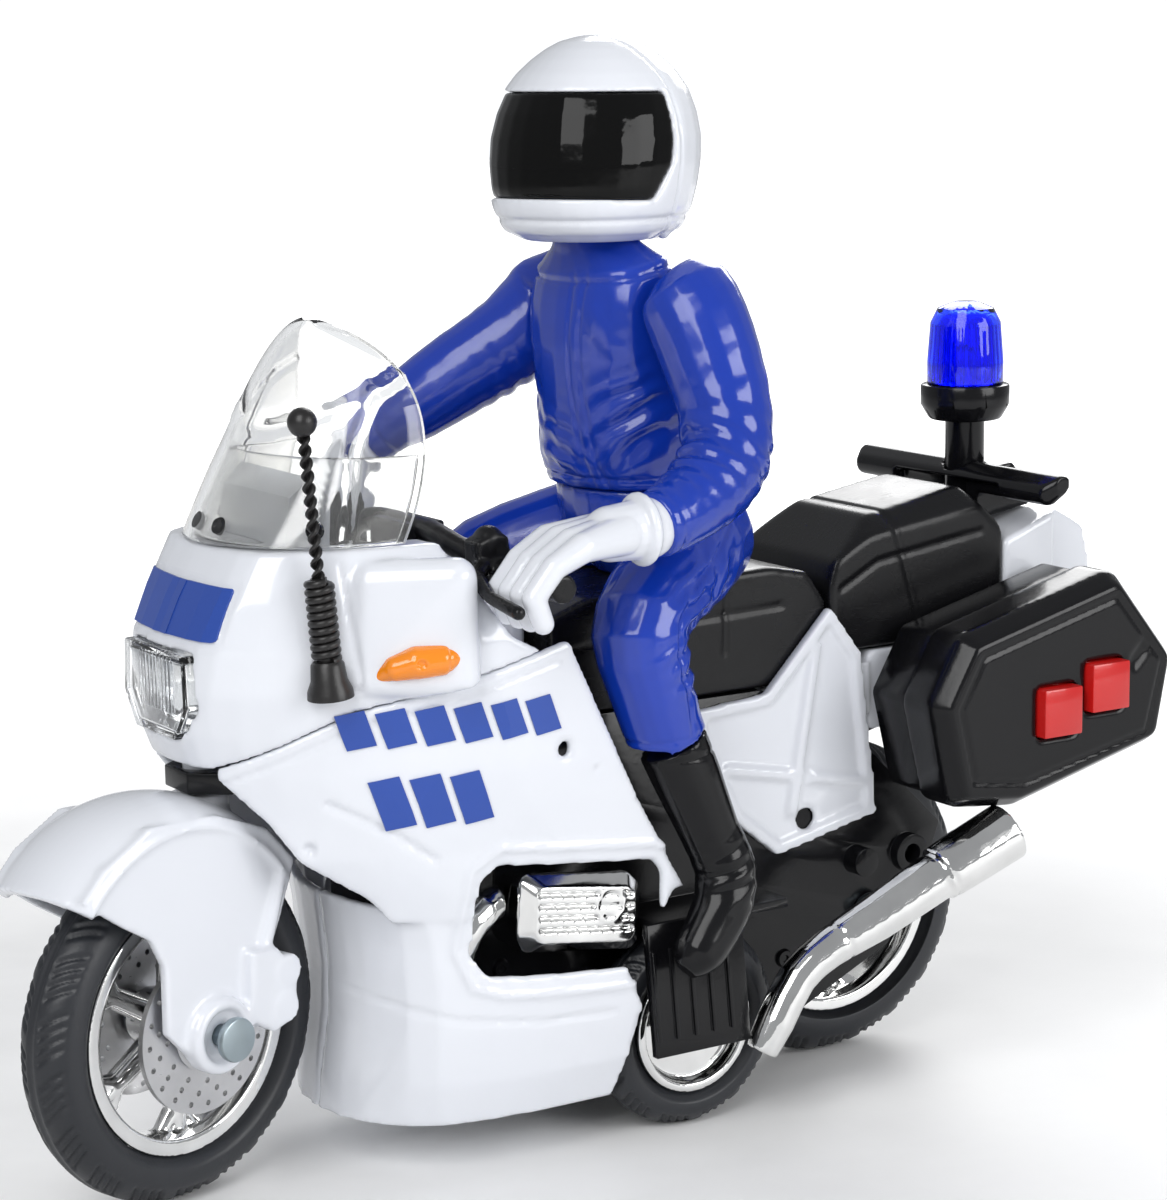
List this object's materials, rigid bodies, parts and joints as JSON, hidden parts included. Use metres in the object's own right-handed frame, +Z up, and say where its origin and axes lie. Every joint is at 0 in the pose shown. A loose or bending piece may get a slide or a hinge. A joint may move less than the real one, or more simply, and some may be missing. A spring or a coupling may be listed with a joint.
{
  "type": "toy police motorcycle with rider",
  "caption": "Moulded toy touring motorcycle with a helmeted rider; it rolls, steers, and drives a flywheel through its under-chassis wheels.",
  "frame": {"origin": "on the ground, under the middle of the toy's bounding box", "axes": "+X forward, +Y to the rider's left, +Z up"},
  "size_m": [0.1834, 0.0778, 0.1584],
  "materials": {
    "black_gloss": "glossy moulded black",
    "white_gloss": "glossy moulded white",
    "blue_gloss": "glossy moulded royal blue",
    "blue_film": "printed film",
    "smoke_clear": "thin clear smoke-tinted plastic",
    "clear_lens": "clear plastic",
    "blue_lens": "clear blue plastic",
    "bulb_epoxy": "clear diffused epoxy",
    "orange_lens": "glossy orange",
    "black_rubber": "soft moulded",
    "black_satin": "satin moulded",
    "red_gloss": "glossy moulded red",
    "chrome_plate": "vacuum-plated bright",
    "silver_disc": "bare metal sheet",
    "zinc_steel": "zinc-plated",
    "gear_steel": "bare",
    "tyre_rubber": "smooth dark rubber",
    "natural_plastic": "unpainted natural",
    "board_green": "circuit board",
    "speaker_black": "moulded"
  },
  "bodies": {
    "bike": {"frame_left": "black_gloss", "frame_right": "black_gloss", "fairing_left": "white_gloss", "fairing_right": "white_gloss", "nose_cowl": "white_gloss", "graphics": "blue_film", "tank_cover": "white_gloss", "dash_panel": "white_gloss", "windshield": "smoke_clear", "shield_skirt": "smoke_clear", "headlamp_reflector": "chrome_plate", "headlamp_lens": "clear_lens", "bulbs": "bulb_epoxy", "indicators": "orange_lens", "antenna": "black_rubber", "steering_plate": "black_gloss", "handlebar": "black_satin", "engine_covers": "chrome_plate", "header_pipes": "chrome_plate", "exhausts": "chrome_plate", "motor_case_left": "natural_plastic", "motor_case_right": "natural_plastic", "rear_axle": "zinc_steel", "seat": "black_satin", "pillion_seat": "black_satin", "tail_left": "white_gloss", "tail_right": "white_gloss", "grab_rail": "black_gloss", "lamp_post": "black_gloss", "lamp_lens": "blue_lens", "pannier_shells": "black_gloss", "pannier_cover_left": "black_gloss", "pannier_cover_right": "black_gloss", "button_cells": "zinc_steel", "circuit_board": "board_green", "speaker": "speaker_black", "jacket": "blue_gloss", "trousers": "blue_gloss", "boots": "black_gloss"},
    "fork": {"front_fork": "white_gloss", "front_axle": "zinc_steel"},
    "front_wheel": {"front_rim": "chrome_plate", "front_tyre": "tyre_rubber", "brake_discs": "silver_disc"},
    "rear_wheel": {"rear_rim": "chrome_plate", "rear_tyre": "tyre_rubber"},
    "driven_wheels": {"drive_axle": "gear_steel", "mid_rims": "chrome_plate", "mid_tyres": "tyre_rubber"},
    "idler": {"idler_gear": "gear_steel"},
    "flywheel": {"flywheel": "gear_steel"},
    "front_button": {"button_front": "red_gloss"},
    "rear_button": {"button_rear": "red_gloss"},
    "left_arm": {"arm_left": "blue_gloss", "glove_left": "white_gloss"},
    "right_arm": {"arm_right": "blue_gloss", "glove_right": "white_gloss"},
    "head": {"head_core": "blue_gloss", "helmet": "white_gloss", "visor": "black_gloss"}
  },
  "joints": [
    {"name": "steering", "type": "hinge", "parent": "bike", "child": "fork", "pos_m": [0.0604, 0, 0.057], "axis": [0, 0, 1], "range_deg": [-37, 3]},
    {"name": "front_wheel_spin", "type": "hinge", "parent": "fork", "child": "front_wheel", "pos_m": [0.06709, 0.00205, 0.025], "axis": [-0.2924, 0.9563, 0], "continuous": true},
    {"name": "rear_wheel_spin", "type": "hinge", "parent": "bike", "child": "rear_wheel", "pos_m": [-0.046, 0, 0.025], "axis": [0, 1, 0], "continuous": true},
    {"name": "drive_spin", "type": "hinge", "parent": "bike", "child": "driven_wheels", "pos_m": [-0.0083, 0, 0.01525], "axis": [0, 1, 0], "continuous": true},
    {"name": "idler_spin", "type": "hinge", "parent": "bike", "child": "idler", "pos_m": [-0.00997, 0, 0.0247], "axis": [0, 1, 0], "continuous": true},
    {"name": "flywheel_spin", "type": "hinge", "parent": "bike", "child": "flywheel", "pos_m": [-0.00517, 0, 0.03302], "axis": [0, 1, 0], "continuous": true},
    {"name": "front_button_press", "type": "slide", "parent": "bike", "child": "front_button", "axis": [0, -1, 0], "range_m": [0, 0.0012], "stiffness_N_per_m": 400},
    {"name": "rear_button_press", "type": "slide", "parent": "bike", "child": "rear_button", "axis": [0, -1, 0], "range_m": [0, 0.0012], "stiffness_N_per_m": 400},
    {"name": "left_arm_raise", "type": "hinge", "parent": "bike", "child": "left_arm", "pos_m": [-0.0105, 0.013, 0.1195], "axis": [0, -1, 0], "range_deg": [0, 75]},
    {"name": "right_arm_raise", "type": "hinge", "parent": "bike", "child": "right_arm", "pos_m": [-0.0105, -0.013, 0.1195], "axis": [0, -1, 0], "range_deg": [0, 75]},
    {"name": "head_turn", "type": "hinge", "parent": "bike", "child": "head", "pos_m": [-0.0057, 0, 0.1306], "axis": [0, 0, 1], "range_deg": [-70, 20]}
  ],
  "couplings": [
    {"joint": "idler_spin", "follows": "drive_spin", "ratio": -3},
    {"joint": "flywheel_spin", "follows": "drive_spin", "ratio": 9}
  ]
}
